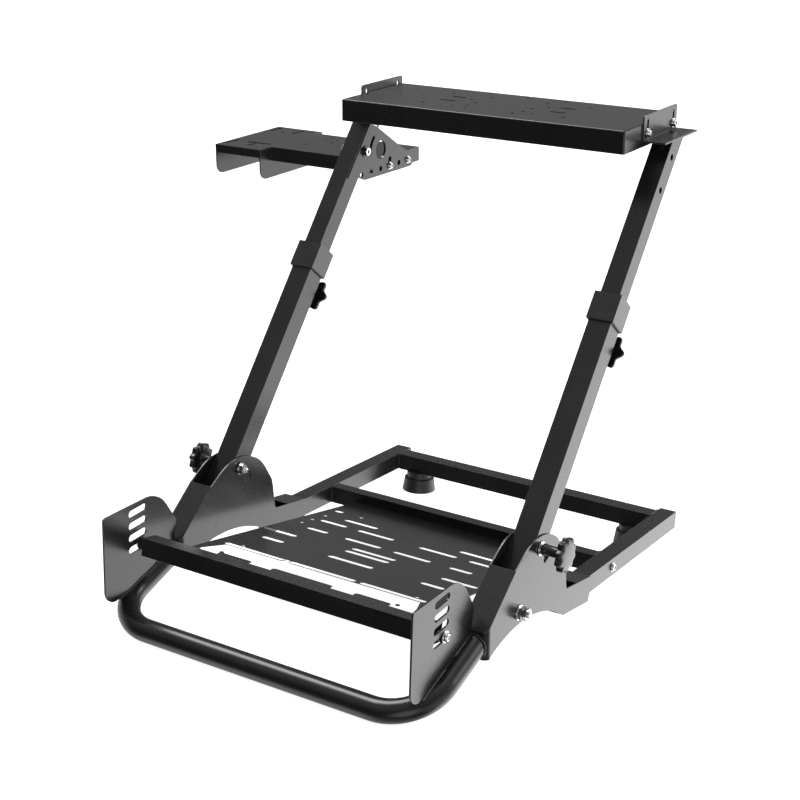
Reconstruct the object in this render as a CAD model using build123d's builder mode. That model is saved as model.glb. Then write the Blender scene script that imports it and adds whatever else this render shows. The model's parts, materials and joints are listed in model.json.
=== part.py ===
"""Folding racing wheel stand: a tilting, telescopic frame over a pedal plate, with a shifter tray on its left."""

import math
import os

from build123d import *

os.makedirs("parts", exist_ok=True)

# Overall layout, in millimetres and degrees. Lengths along Y run rearwards from the pivot bolts.
upright_x = 256.8
weld_gap = 0.4
pivot_height = 93.3
lean_angle = 35.5
upright_reach = 730.7

# Sheet and fits
sheet = 2.5
cheek_sheet = 2.0
slide_fit = 0.5
pin_fit = 0.1

# Nested square tubes of the uprights, all measured along them from the pivot
tube_wall = 2.0
lower_tube_side = 35.0
upper_tube_side = lower_tube_side - 2 * tube_wall - 2 * slide_fit
lower_tube_start = -12.0
lower_tube_end = 440.0
upper_tube_start = 240.0
collar_side = 42.0
collar_start = lower_tube_end - 16.0
collar_end = lower_tube_end + 27.0
collar_bevel = 1.2
upper_hole_radius = 5.0
upper_hole_marks = (643.5, 698.0)

# Hinge brackets
bracket_play = 1.0
bracket_width = 2 * cheek_sheet + lower_tube_side + bracket_play
bracket_fold = 8.0
pivot_bolt_radius = 5.0
lean_radius = 92.0
lean_bolt_radius = 4.0
lean_slot_radius = lean_radius + 2.0
lean_slot_half = 6.3
lean_slot_first = -4.0
lean_slot_last = 17.0
lean_lobe_depth = 4.0
lean_lobe_radius = 5.2

# Rails and crossbars
rail_side = 28.0
rail_wall = 1.5
rail_bottom = 34.0
rail_front = 146.0
rail_rear = 565.5
cap_thickness = 2.0
rear_bar_y = 538.0
mid_bar_front = 312.0
mid_bar_depth = 20.0

# Front tube
front_tube_radius = 16.5
front_tube_wall = 2.0
front_bar_y = -219.6
front_bend_radius = 70.0
front_tube_slope = 22.0

# Feet
foot_x = 206.8
foot_radius = 29.0
foot_top_radius = 26.0
foot_neck_radius = 22.0
foot_pad_height = 22.4

# Wings and pedal deck
wing_x = upright_x - 7.6
wing_sheet = 3.0
wing_slot_pitch = 18.2
wing_slot_count = 4
wing_slot_length = 28.0
wing_slot_width = 11.0
wing_slot_tilt = 6.0
pedal_bar_side = 26.0
pedal_bar_wall = 1.5
pedal_washer_depth = 9.7
pedal_bar_half = wing_x - pedal_washer_depth
pedal_bar_y = -155.5
pedal_bar_z = 110.6
pedal_slope = 8.32
pedal_plate_half = 192.6
pedal_plate_rise = 3.5
pedal_bolt_radius = 4.0

# Head: wheel plate, its side brackets and the shifter tray. Lengths run rearwards from the plate's front edge.
head_tilt = 4.23
plate_half = 240.0
plate_depth = 178.0
plate_skirt = 33.5
plate_corner = 3.0
head_bracket_front = 60.0
head_bracket_height = 38.0
head_bracket_above = 12.2
shelf_reach = 36.5
gusset_rear = 205.0
tray_drop = 115.4
tray_skirt = 23.7
arm_front = 98.8
arm_rear = 234.2
tray_front = 67.2
tray_rear = 249.2
tray_right = 452.3
tray_left = 547.4
tray_flange = 51.9
tray_lip = 14.0
tray_corner = 16.0

# Knobs
lean_knob_lobes = 10
lean_knob_radius = 25.0
lean_knob_start = 308.0
lean_knob_end = 320.0
lean_hub_radius = 7.5
lean_hub_gap = 4.0
height_knob_along = collar_start - 24.0
height_knob_lobes = 7
height_lobe_radius = 4.5
height_knob_radius = 29.0
height_knob_start = 31.0
height_knob_end = 37.0
height_hub_radius = 8.5
height_screw_radius = 4.0

# The origin is on the floor under the middle of the whole stand.
stand_rear = rail_rear
stand_front = front_bar_y - front_tube_radius
X0 = (tray_left - lean_knob_end) / 2
Y0 = -(stand_rear + stand_front) / 2

lean_sin = math.sin(math.radians(lean_angle))
lean_cos = math.cos(math.radians(lean_angle))
inner_cheek = upright_x - bracket_width / 2
outer_cheek = upright_x + bracket_width / 2
rail_middle = rail_bottom + rail_side / 2


def across(x):
    """Upright plane x to the right of the stand's middle, drawn in (rearwards, up)."""
    return Plane(origin=(X0 + x, Y0, 0), x_dir=(0, 1, 0), z_dir=(1, 0, 0))


def front_view(y):
    """Upright plane y behind the pivots, drawn in (right, up) and facing forwards."""
    return Plane(origin=(X0, Y0 + y, 0), x_dir=(1, 0, 0), z_dir=(0, -1, 0))


def up_tube(along, x=0.0):
    """Plane square to the uprights, drawn in (right, to the tube's rear face)."""
    centre = (X0 + x, Y0 + along * lean_sin, pivot_height + along * lean_cos)
    return Plane(origin=centre, x_dir=(1, 0, 0), z_dir=(0, lean_sin, lean_cos))


def behind_tube(along, x, depth):
    """Plane parallel to a tube's rear face, depth behind its axis, facing rearwards."""
    spot = up_tube(along, x).from_local_coords((0, depth, 0))
    return Plane(origin=spot, x_dir=(1, 0, 0), z_dir=(0, lean_cos, -lean_sin))


def tilted(y, z, slope):
    """Pair of plane makers for a deck through (y, z) whose rear is higher by slope degrees."""
    rise = math.sin(math.radians(slope))
    run = math.cos(math.radians(slope))

    def side(x):
        return Plane(origin=(X0 + x, Y0 + y, z), x_dir=(0, run, rise), z_dir=(1, 0, 0))

    def top(height):
        spot = (X0, Y0 + y - height * rise, z + height * run)
        return Plane(origin=spot, x_dir=(1, 0, 0), z_dir=(0, -rise, run))

    return side, top


def nearest(shapes, *spots):
    """The one shape nearest to each spot."""
    return [shapes.sort_by_distance(spot)[0] for spot in spots]


def on_pivot(angle, radius):
    """A point of the hinge brackets at a lean from upright and a distance from the pivot."""
    turn = math.radians(angle)
    return (radius * math.sin(turn), pivot_height + radius * math.cos(turn))


def on_arm(y):
    """Height of the line that runs along the top of the front tube's rising arms."""
    slope = math.radians(front_tube_slope)
    return front_tube_radius + (y - front_bar_y) * math.tan(slope) + front_tube_radius / math.cos(slope)


# The head's deck is placed so that each upright ends under the middle of its head bracket.
head_run = math.cos(math.radians(head_tilt))
head_rise = math.sin(math.radians(head_tilt))
head_bracket_middle = (head_bracket_front + plate_depth) / 2
shelf_underside = head_bracket_above - head_bracket_height
upright_top_y = upright_reach * lean_sin
upright_top_z = pivot_height + upright_reach * lean_cos
head_y = upright_top_y - head_bracket_middle * head_run + shelf_underside * head_rise
head_z = upright_top_z - head_bracket_middle * head_rise - shelf_underside * head_run
head_side, head_top = tilted(head_y, head_z, head_tilt)

# The pedal deck's origin is the middle of the pedal bar.
pedal_side, pedal_top = tilted(pedal_bar_y, pedal_bar_z, -pedal_slope)
pedal_run = math.cos(math.radians(pedal_slope))
pedal_plate_front = pedal_bar_side / 2
pedal_plate_slack = pedal_plate_rise * math.tan(math.radians(pedal_slope)) + weld_gap
pedal_plate_rear = (mid_bar_front - pedal_bar_y) / pedal_run - pedal_plate_slack

# Hinge bracket outline, in (rearwards, up)
bracket_heel = (-83.2, 53.1)
bracket_brow = (-86.3, 95.0)
web_top = (-16.0, 158.6)
crown = ((20.0, 180.6), (52.0, 186.2), (84.4, 179.1), (108.5, 163.5), (128.8, 136.6))
crown_end = (143.0, 86.0)
arm_notch = (145.5, 75.5)
arm_top_rear = (226.9, 66.5)
arm_end = (227.8, 41.0)
arm_toe = (223.2, 27.6)
arm_elbow = (141.0, 36.2)
arch_rear = (132.5, 40.9)
arch_top = (17.1, 75.9)

# Wing outline: its lower edge lies along the front tube's arm and its rear edge against the bracket
wing_nose = (-236.4, 172.6)
wing_toe = (-233.5, 33.5)
wing_heel = (bracket_heel[0] - 2.1, on_arm(bracket_heel[0] - 2.1))
wing_root = (-81.6, 124.9)
wing_apex = (-120.3, 179.1)
wing_apex_radius = 50.0
wing_slot_back = (wing_slot_length - wing_slot_width) / 2
wing_slot_y = pedal_bar_y - wing_slot_back * math.cos(math.radians(wing_slot_tilt))
wing_slot_low = pedal_bar_z - wing_slot_back * math.sin(math.radians(wing_slot_tilt))

hands = (("right", 1), ("left", -1))

# Front tube: a U bent flat on the floor at the front, its arms rising to the hinge brackets
slope_sin = math.sin(math.radians(front_tube_slope))
slope_cos = math.cos(math.radians(front_tube_slope))
tube_plane = Plane(
    origin=(X0, Y0 + front_bar_y, front_tube_radius),
    x_dir=(1, 0, 0),
    z_dir=(0, -slope_sin, slope_cos),
)
arm_run = (bracket_heel[0] - front_bar_y) / slope_cos + 2 * front_tube_radius
bracket_face = Plane(
    origin=(X0, Y0 + bracket_heel[0], bracket_heel[1]),
    x_dir=(1, 0, 0),
    z_dir=(0, bracket_brow[1] - bracket_heel[1], bracket_heel[0] - bracket_brow[0]),
)
with BuildPart() as front_tube:
    with BuildLine(tube_plane) as tube_path:
        FilletPolyline(
            (-upright_x, arm_run),
            (-upright_x, 0),
            (upright_x, 0),
            (upright_x, arm_run),
            radius=front_bend_radius,
        )
    with BuildSketch(Plane(origin=tube_path.line @ 0, z_dir=tube_path.line % 0)):
        Circle(front_tube_radius)
        Circle(front_tube_radius - front_tube_wall, mode=Mode.SUBTRACT)
    sweep(path=tube_path.line)
    split(bisect_by=bracket_face, keep=Keep.BOTTOM)
front_tube.part.label = "front_tube"
export_step(front_tube.part, "parts/front_tube.step")

# Rear crossbar and mid crossbar: square tube between the rails
bar_half = upright_x - rail_side / 2
with BuildPart() as rear_crossbar:
    with BuildSketch(across(-bar_half)):
        with Locations((rear_bar_y, rail_middle)):
            Rectangle(rail_side, rail_side)
            Rectangle(rail_side - 2 * rail_wall, rail_side - 2 * rail_wall, mode=Mode.SUBTRACT)
    extrude(amount=2 * bar_half)
rear_crossbar.part.label = "rear_crossbar"
export_step(rear_crossbar.part, "parts/rear_crossbar.step")

with BuildPart() as mid_crossbar:
    with BuildSketch(across(-bar_half)):
        with Locations((mid_bar_front + mid_bar_depth / 2, rail_middle)):
            Rectangle(mid_bar_depth, rail_side)
            Rectangle(mid_bar_depth - 2 * rail_wall, rail_side - 2 * rail_wall, mode=Mode.SUBTRACT)
    extrude(amount=2 * bar_half)
mid_crossbar.part.label = "mid_crossbar"
export_step(mid_crossbar.part, "parts/mid_crossbar.step")

# Pedal bar: square tube across the front, its ends closed by plugs that take the wing bolts
bar_plug = 8.0
with BuildPart() as pedal_bar:
    with BuildSketch(pedal_side(-pedal_bar_half)):
        Rectangle(pedal_bar_side, pedal_bar_side)
    extrude(amount=2 * pedal_bar_half)
    with BuildSketch(pedal_side(-pedal_bar_half + bar_plug)):
        Rectangle(pedal_bar_side - 2 * pedal_bar_wall, pedal_bar_side - 2 * pedal_bar_wall)
    extrude(amount=2 * (pedal_bar_half - bar_plug), mode=Mode.SUBTRACT)
    with BuildSketch(pedal_side(-pedal_bar_half)):
        Circle(pedal_bolt_radius)
    extrude(amount=2 * pedal_bar_half, mode=Mode.SUBTRACT)
pedal_bar.part.label = "pedal_bar"
export_step(pedal_bar.part, "parts/pedal_bar.step")

# Pedal plate: one sloping sheet with rows of narrow slots, each row at a distance behind the bar's middle
slot_width = 4.0
slot_rows = (
    (39.2, ((-49.7, 49.7), (88.0, 144.0), (-144.0, -88.0))),
    (89.9, ((-55.8, 55.8), (65.0, 165.0), (-165.0, -65.0))),
    (162.9, ((-37.5, 37.5), (120.0, 157.0), (-157.0, -120.0))),
    (206.9, ((-37.0, 37.0), (128.0, 185.0), (-185.0, -128.0))),
    (225.3, ((-37.0, 37.0),)),
    (263.4, ((12.5, 74.6), (109.0, 145.0), (-74.6, -12.5), (-145.0, -109.0))),
    (318.9, ((24.0, 87.5), (111.0, 158.0), (-87.5, -24.0), (-158.0, -111.0))),
    (353.4, ((75.5, 135.0), (-135.0, -75.5))),
)
plate_small_holes = (
    (148.0, 52.9),
    (-148.0, 52.9),
    (148.0, 103.4),
    (-148.0, 103.4),
    (-173.0, 285.7),
    (-173.0, 315.7),
    (-173.0, 352.7),
    (-131.0, 392.7),
)
plate_hole_radius = 3.0
with BuildPart() as pedal_plate:
    with BuildSketch(pedal_top(pedal_plate_rise - sheet)):
        with Locations((0, (pedal_plate_front + pedal_plate_rear) / 2)):
            Rectangle(2 * pedal_plate_half, pedal_plate_rear - pedal_plate_front)
        for row, spans in slot_rows:
            for low, high in spans:
                with Locations(((low + high) / 2, row)):
                    SlotOverall(high - low, slot_width, mode=Mode.SUBTRACT)
        with Locations(*plate_small_holes):
            Circle(plate_hole_radius, mode=Mode.SUBTRACT)
        with Locations((-174.0, 392.3)):
            SlotOverall(15.0, 10.0, rotation=90, mode=Mode.SUBTRACT)
    extrude(amount=sheet)
pedal_plate.part.label = "pedal_plate"
export_step(pedal_plate.part, "parts/pedal_plate.step")

heel, brow, top = Vector(*bracket_heel), Vector(*bracket_brow), Vector(*web_top)
for name, hand in hands:
    # Hinge bracket: one folded sheet, two cheeks joined by a web down the front
    with BuildPart() as bracket:
        with BuildSketch(across(hand * upright_x - bracket_width / 2)) as profile:
            with BuildLine():
                Polyline(bracket_heel, bracket_brow, web_top)
                Spline(web_top, *crown, crown_end, tangents=[(1, 0.62), (0.15, -1)])
                Polyline(crown_end, arm_notch, arm_top_rear, arm_end, arm_toe, arm_elbow, arch_rear)
                ThreePointArc(arch_rear, arch_top, bracket_heel)
            make_face()
            fillet(nearest(profile.vertices(), arm_notch), 6.0)
            fillet(nearest(profile.vertices(), arm_elbow), 12.0)
        extrude(amount=bracket_width)
        folds = bracket.edges().filter_by(GeomType.LINE).filter_by(lambda e: e.center().Y < Y0 - 30)
        folds = folds.filter_by(lambda e: abs(e.tangent_at(0).Z) > 0.9)
        fillet(folds, bracket_fold)
        with BuildSketch(across(hand * upright_x - bracket_width / 2 + cheek_sheet)):
            face = (brow - heel).normalized()
            web = (top - brow).normalized()
            behind_face = face.rotate(Axis.Z, -90)
            behind_web = web.rotate(Axis.Z, -90)
            mitre = (behind_face + behind_web) / (1 + behind_face.dot(behind_web))
            with BuildLine():
                Polyline(
                    heel + behind_face * cheek_sheet - face * bracket_width,
                    brow + mitre * cheek_sheet,
                    top + behind_web * cheek_sheet,
                    top - behind_web * bracket_width,
                    (2 * arm_end[0], 2 * web_top[1]),
                    (2 * arm_end[0], 0),
                    close=True,
                )
            make_face()
        extrude(amount=bracket_width - 2 * cheek_sheet, mode=Mode.SUBTRACT)
        first = lean_angle + lean_slot_first
        last = lean_angle + lean_slot_last
        with BuildSketch(across(hand * upright_x - bracket_width / 2)):
            with Locations((0, pivot_height)):
                Circle(pivot_bolt_radius)
            with BuildLine():
                inner = lean_slot_radius - lean_slot_half
                outer = lean_slot_radius + lean_slot_half
                middle = (first + last) / 2
                ThreePointArc(on_pivot(first, inner), on_pivot(middle, inner), on_pivot(last, inner))
                ThreePointArc(on_pivot(first, outer), on_pivot(middle, outer), on_pivot(last, outer))
                Line(on_pivot(first, inner), on_pivot(first, outer))
                Line(on_pivot(last, inner), on_pivot(last, outer))
            make_face()
            with Locations(on_pivot(first, lean_slot_radius), on_pivot(last, lean_slot_radius)):
                Circle(lean_slot_half)
            with Locations(*(on_pivot(lobe, lean_radius - lean_lobe_depth) for lobe in (first, last))):
                Circle(lean_lobe_radius)
        extrude(amount=bracket_width, mode=Mode.SUBTRACT)
    bracket.part.label = f"{name}_bracket"
    export_step(bracket.part, f"parts/{name}_bracket.step")

    # Arm cover: a strip that closes the top of the bracket's arm over the rail
    cover_front = 182.0
    arm_slope = (arm_top_rear[1] - arm_notch[1]) / (arm_top_rear[0] - arm_notch[0])
    cover_front_z = arm_top_rear[1] - arm_slope * (arm_top_rear[0] - cover_front)
    with BuildPart() as arm_cover:
        with BuildSketch(across(hand * upright_x - bracket_width / 2 + cheek_sheet)):
            with BuildLine():
                Polyline(
                    (cover_front, cover_front_z),
                    arm_top_rear,
                    (arm_top_rear[0], arm_top_rear[1] - cheek_sheet),
                    (cover_front, cover_front_z - cheek_sheet),
                    close=True,
                )
            make_face()
        extrude(amount=bracket_width - 2 * cheek_sheet)
    arm_cover.part.label = f"{name}_arm_cover"
    export_step(arm_cover.part, f"parts/{name}_arm_cover.step")

    # Rail: square tube from inside the bracket's arm to the rear, closed by a cap
    with BuildPart() as rail:
        with BuildSketch(front_view(rail_front)):
            with Locations((hand * upright_x, rail_middle)):
                Rectangle(rail_side, rail_side)
                Rectangle(rail_side - 2 * rail_wall, rail_side - 2 * rail_wall, mode=Mode.SUBTRACT)
        extrude(amount=rail_front + cap_thickness - rail_rear)
    rail.part.label = f"{name}_rail"
    export_step(rail.part, f"parts/{name}_rail.step")

    cap_lip = 1.0
    with BuildPart() as rail_cap:
        with BuildSketch(front_view(rail_rear - cap_thickness)):
            with Locations((hand * upright_x, rail_middle)):
                Rectangle(rail_side, rail_side)
        extrude(amount=-cap_thickness)
        with BuildSketch(front_view(rail_rear - cap_thickness)):
            with Locations((hand * upright_x, rail_middle)):
                Rectangle(rail_side - 2 * rail_wall - cap_lip, rail_side - 2 * rail_wall - cap_lip)
        extrude(amount=5 * cap_thickness)
    rail_cap.part.label = f"{name}_rail_cap"
    export_step(rail_cap.part, f"parts/{name}_rail_cap.step")

    # Foot: tapered rubber pad and neck under the rear crossbar
    with BuildPart() as foot:
        foot_centre = (X0 + hand * foot_x, Y0 + rear_bar_y, 0)
        with BuildSketch(Plane(origin=foot_centre, x_dir=(1, 0, 0), z_dir=(0, -1, 0))):
            with BuildLine():
                Polyline(
                    (0, 0),
                    (foot_radius, 0),
                    (foot_top_radius, foot_pad_height),
                    (foot_neck_radius, foot_pad_height),
                    (foot_neck_radius, rail_bottom),
                    (0, rail_bottom),
                    close=True,
                )
            make_face()
        revolve(axis=Axis(foot_centre, (0, 0, 1)))
    foot.part.label = f"{name}_foot"
    export_step(foot.part, f"parts/{name}_foot.step")

    # Wing: an upright side plate that carries the pedal bar at one of its slots
    with BuildPart() as wing:
        with BuildSketch(across(hand * wing_x)) as profile:
            with BuildLine():
                Polyline(
                    wing_nose,
                    wing_toe,
                    wing_heel,
                    bracket_brow,
                    wing_root,
                    wing_apex,
                    close=True,
                )
            make_face()
            fillet(nearest(profile.vertices(), wing_nose), 5.0)
            fillet(nearest(profile.vertices(), wing_toe), 20.0)
            fillet(nearest(profile.vertices(), wing_apex), wing_apex_radius)
            for step in range(wing_slot_count):
                with Locations((wing_slot_y, wing_slot_low + step * wing_slot_pitch)):
                    SlotOverall(wing_slot_length, wing_slot_width, rotation=wing_slot_tilt, mode=Mode.SUBTRACT)
        extrude(amount=hand * wing_sheet)
    wing.part.label = f"{name}_wing"
    export_step(wing.part, f"parts/{name}_wing.step")

    # Wing bolt: holds the pedal bar in the lowest slot, with a spacer inside and a washer outside
    bolt_head_radius = 6.5
    bolt_head_depth = 5.0
    bolt_washer_radius = 8.5
    bolt_washer_depth = 1.6
    wing_face = wing_x + wing_sheet
    with BuildPart() as pedal_bolt:
        with BuildSketch(pedal_side(hand * pedal_bar_half)):
            Circle(bolt_washer_radius)
        extrude(amount=hand * (wing_x - pedal_bar_half))
        with BuildSketch(pedal_side(hand * wing_face)):
            Circle(bolt_washer_radius)
        extrude(amount=hand * bolt_washer_depth)
        with BuildSketch(pedal_side(hand * (wing_face + bolt_washer_depth))):
            Circle(bolt_head_radius)
        extrude(amount=hand * bolt_head_depth)
        with BuildSketch(pedal_side(hand * (pedal_bar_half - bar_plug))):
            Circle(pedal_bolt_radius)
        extrude(amount=hand * (wing_face + bolt_washer_depth - pedal_bar_half + bar_plug))
    pedal_bolt.part.label = f"{name}_pedal_bolt"
    export_step(pedal_bolt.part, f"parts/{name}_pedal_bolt.step")

    # Pivot bolt: through both cheeks, with its head inside and a washer and nuts outside
    pivot_head_side = 17.0
    pivot_head_depth = 6.5
    pivot_nut_depth = 12.0
    pivot_washer_radius = 11.0
    pivot_washer_depth = 2.0
    pivot_end = 18.0
    with BuildPart() as pivot_bolt:
        with BuildSketch(across(hand * (inner_cheek - pivot_head_depth))):
            with Locations((0, pivot_height)):
                RegularPolygon(pivot_head_side / 2, 6, major_radius=False)
        extrude(amount=hand * pivot_head_depth)
        with BuildSketch(across(hand * inner_cheek)):
            with Locations((0, pivot_height)):
                Circle(pivot_bolt_radius)
        extrude(amount=hand * (bracket_width + pivot_end))
        with BuildSketch(across(hand * outer_cheek)):
            with Locations((0, pivot_height)):
                Circle(pivot_washer_radius)
        extrude(amount=hand * pivot_washer_depth)
        with BuildSketch(across(hand * (outer_cheek + pivot_washer_depth))):
            with Locations((0, pivot_height)):
                RegularPolygon(pivot_head_side / 2, 6, major_radius=False)
        extrude(amount=hand * pivot_nut_depth)
    pivot_bolt.part.label = f"{name}_pivot_bolt"
    export_step(pivot_bolt.part, f"parts/{name}_pivot_bolt.step")

    # Lower upright tube, drilled for the pivot bolt, the lean bolt and the height screw
    with BuildPart() as lower_tube:
        with BuildSketch(up_tube(lower_tube_start, hand * upright_x)):
            Rectangle(lower_tube_side, lower_tube_side)
            Rectangle(lower_tube_side - 2 * tube_wall, lower_tube_side - 2 * tube_wall, mode=Mode.SUBTRACT)
        extrude(amount=lower_tube_end - lower_tube_start)
        with BuildSketch(across(hand * upright_x - lower_tube_side / 2)):
            with Locations((0, pivot_height)):
                Circle(pivot_bolt_radius + pin_fit)
            with Locations(on_pivot(lean_angle, lean_radius)):
                Circle(lean_bolt_radius)
        extrude(amount=lower_tube_side, mode=Mode.SUBTRACT)
        with BuildSketch(behind_tube(height_knob_along, hand * upright_x, 0)):
            Circle(height_screw_radius + pin_fit)
        extrude(amount=lower_tube_side, mode=Mode.SUBTRACT)
    lower_tube.part.label = f"{name}_lower_tube"
    export_step(lower_tube.part, f"parts/{name}_lower_tube.step")

    # Collar: caps the lower tube's mouth and guides the upper tube
    with BuildPart() as collar:
        with BuildSketch(up_tube(collar_start, hand * upright_x)):
            Rectangle(collar_side, collar_side)
            Rectangle(lower_tube_side, lower_tube_side, mode=Mode.SUBTRACT)
        extrude(amount=lower_tube_end - collar_start)
        with BuildSketch(up_tube(lower_tube_end, hand * upright_x)):
            Rectangle(collar_side, collar_side)
            Rectangle(upper_tube_side + slide_fit, upper_tube_side + slide_fit, mode=Mode.SUBTRACT)
        extrude(amount=collar_end - lower_tube_end)
        rim = collar.edges().sort_by_distance(up_tube(collar_start, hand * upright_x).origin)
        chamfer([e for e in rim if e.length > collar_side - 0.1][:4], collar_bevel)
    collar.part.label = f"{name}_collar"
    export_step(collar.part, f"parts/{name}_collar.step")

    # Lean bolt: across the slot of both cheeks, with a washer outside
    lean_bolt_tail = 13.0
    lean_bolt_start = inner_cheek - lean_bolt_tail
    lean_bolt_end = lean_knob_start - 2.0
    cheek_gap = 0.4
    with BuildPart() as lean_bolt:
        with BuildSketch(across(hand * lean_bolt_start)):
            with Locations(on_pivot(lean_angle, lean_radius)):
                Circle(lean_bolt_radius)
        extrude(amount=hand * (lean_bolt_end - lean_bolt_start))
        with BuildSketch(across(hand * (outer_cheek + cheek_gap))):
            with Locations(on_pivot(lean_angle, lean_radius)):
                Circle(lean_hub_radius + 1.5)
        extrude(amount=hand * (lean_hub_gap - 2 * cheek_gap))
    lean_bolt.part.label = f"{name}_lean_bolt"
    export_step(lean_bolt.part, f"parts/{name}_lean_bolt.step")

    # Lean knob: a hub on the lean bolt and a lobed grip
    lobe_radius = 0.2 * lean_knob_radius
    knob_scallop = 1.8
    with BuildPart() as lean_knob:
        with BuildSketch(across(hand * (outer_cheek + lean_hub_gap))):
            with Locations(on_pivot(lean_angle, lean_radius)):
                Circle(lean_hub_radius)
        extrude(amount=hand * (lean_knob_start - outer_cheek - lean_hub_gap))
        with BuildSketch(across(hand * lean_knob_start)):
            with Locations(on_pivot(lean_angle, lean_radius)):
                Circle(lean_knob_radius - knob_scallop)
                with PolarLocations(lean_knob_radius - lobe_radius, lean_knob_lobes):
                    Circle(lobe_radius)
        extrude(amount=hand * (lean_knob_end - lean_knob_start))
        with BuildSketch(across(hand * (outer_cheek + lean_hub_gap))):
            with Locations(on_pivot(lean_angle, lean_radius)):
                Circle(lean_bolt_radius + pin_fit)
        extrude(amount=hand * (lean_bolt_end + 1.0 - outer_cheek - lean_hub_gap), mode=Mode.SUBTRACT)
    lean_knob.part.label = f"{name}_lean_knob"
    export_step(lean_knob.part, f"parts/{name}_lean_knob.step")

    # Height knob: a star grip whose screw clamps the upper tube through the lower tube's rear wall
    screw_start = upper_tube_side / 2 + 0.8 * slide_fit
    height_knob_valley = 22.5
    arm_length = height_knob_radius - height_lobe_radius
    with BuildPart() as height_knob:
        with BuildSketch(behind_tube(height_knob_along, hand * upright_x, screw_start)):
            Circle(height_screw_radius)
        extrude(amount=height_knob_start - screw_start)
        with BuildSketch(behind_tube(height_knob_along, hand * upright_x, lower_tube_side / 2 + slide_fit)):
            Circle(height_hub_radius)
        extrude(amount=height_knob_end - lower_tube_side / 2 - slide_fit)
        with BuildSketch(behind_tube(height_knob_along, hand * upright_x, height_knob_start)):
            Circle(height_knob_valley)
            with PolarLocations(arm_length, height_knob_lobes):
                Circle(height_lobe_radius)
            with PolarLocations(arm_length / 2, height_knob_lobes):
                Rectangle(arm_length, 2 * height_lobe_radius)
        extrude(amount=height_knob_end - height_knob_start)
    height_knob.part.label = f"{name}_height_knob"
    export_step(height_knob.part, f"parts/{name}_height_knob.step")

    # Upper upright tube: slides in the lower one and ends square under the head bracket's shelf
    shelf_plane = head_top(shelf_underside)
    with BuildPart() as upper_tube:
        with BuildSketch(up_tube(upper_tube_start, hand * upright_x)):
            Rectangle(upper_tube_side, upper_tube_side)
            Rectangle(upper_tube_side - 2 * tube_wall, upper_tube_side - 2 * tube_wall, mode=Mode.SUBTRACT)
        extrude(amount=upright_reach + upper_tube_side - upper_tube_start)
        split(bisect_by=shelf_plane, keep=Keep.BOTTOM)
        for mark in upper_hole_marks:
            with BuildSketch(across(hand * upright_x - upper_tube_side / 2)):
                with Locations((mark * lean_sin, pivot_height + mark * lean_cos)):
                    Circle(upper_hole_radius)
            extrude(amount=upper_tube_side, mode=Mode.SUBTRACT)
    upper_tube.part.label = f"{name}_upper_tube"
    export_step(upper_tube.part, f"parts/{name}_upper_tube.step")

    # Head bracket: an angle whose flange holds the wheel plate and whose shelf sits on the upright
    flange_slot = 24.0
    flange_slot_width = 6.5
    flange_slot_inset = 13.0
    shelf_holes = ((254.0, 85.1), (259.0, 168.0))
    shelf_hole_radius = 3.0
    with BuildPart() as head_bracket:
        with BuildSketch(head_side(hand * plate_half)) as profile:
            with Locations((head_bracket_middle, head_bracket_above - head_bracket_height / 2)):
                Rectangle(plate_depth - head_bracket_front, head_bracket_height)
            upper_corners = profile.vertices().group_by(Axis.Y)[-1]
            fillet(upper_corners, 4.0)
            slot_middle = head_bracket_above - 6.0 - flange_slot / 2
            slot_offset = (plate_depth - head_bracket_front) / 2 - flange_slot_inset
            with Locations((head_bracket_middle, slot_middle)):
                with Locations((-slot_offset, 0), (slot_offset, 0)):
                    SlotOverall(flange_slot, flange_slot_width, rotation=90, mode=Mode.SUBTRACT)
        extrude(amount=hand * sheet)
        with BuildSketch(head_top(shelf_underside)):
            with Locations((hand * (plate_half + shelf_reach / 2), head_bracket_middle)):
                Rectangle(shelf_reach, plate_depth - head_bracket_front)
            with Locations(*((hand * across_x, back) for across_x, back in shelf_holes)):
                Circle(shelf_hole_radius, mode=Mode.SUBTRACT)
        extrude(amount=sheet)
    head_bracket.part.label = f"{name}_head_bracket"
    export_step(head_bracket.part, f"parts/{name}_head_bracket.step")

# Wheel plate: a shallow pan, open underneath, with the hole pattern for a steering wheel base
wheel_holes = (
    (120.3, 45.7),
    (68.5, 46.4),
    (41.0, 38.0),
    (47.8, 57.6),
    (48.8, 84.8),
    (67.0, 103.6),
    (48.9, 134.7),
    (119.0, 137.0),
    (66.8, 162.6),
)
wheel_hole_radius = 3.2
wheel_slots = ((94.8, 79.5, 28.4), (94.8, 113.5, 26.2))
with BuildPart() as wheel_plate:
    with BuildSketch(head_top(-plate_skirt)):
        with Locations((0, plate_depth / 2)):
            Rectangle(2 * plate_half, plate_depth)
    extrude(amount=plate_skirt)
    fillet(wheel_plate.edges().filter_by(lambda e: abs(e.tangent_at(0).Z) > 0.9), plate_corner)
    upper_edges = wheel_plate.faces().sort_by(Axis.Z)[-1].edges()
    fillet(upper_edges, sheet)
    with BuildSketch(head_top(-plate_skirt)):
        with Locations((0, plate_depth / 2)):
            Rectangle(2 * (plate_half - sheet), plate_depth - 2 * sheet)
    extrude(amount=plate_skirt - sheet, mode=Mode.SUBTRACT)
    with BuildSketch(head_top(-sheet)):
        for across_x, back in wheel_holes:
            with Locations((across_x, back), (-across_x, back)):
                Circle(wheel_hole_radius)
        with Locations((0, wheel_holes[-1][1])):
            Circle(wheel_hole_radius)
        for across_x, back, length in wheel_slots:
            with Locations((across_x, back), (-across_x, back)):
                SlotOverall(length, 2 * wheel_hole_radius)
    extrude(amount=sheet, mode=Mode.SUBTRACT)
wheel_plate.part.label = "wheel_plate"
export_step(wheel_plate.part, "parts/wheel_plate.step")

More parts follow.
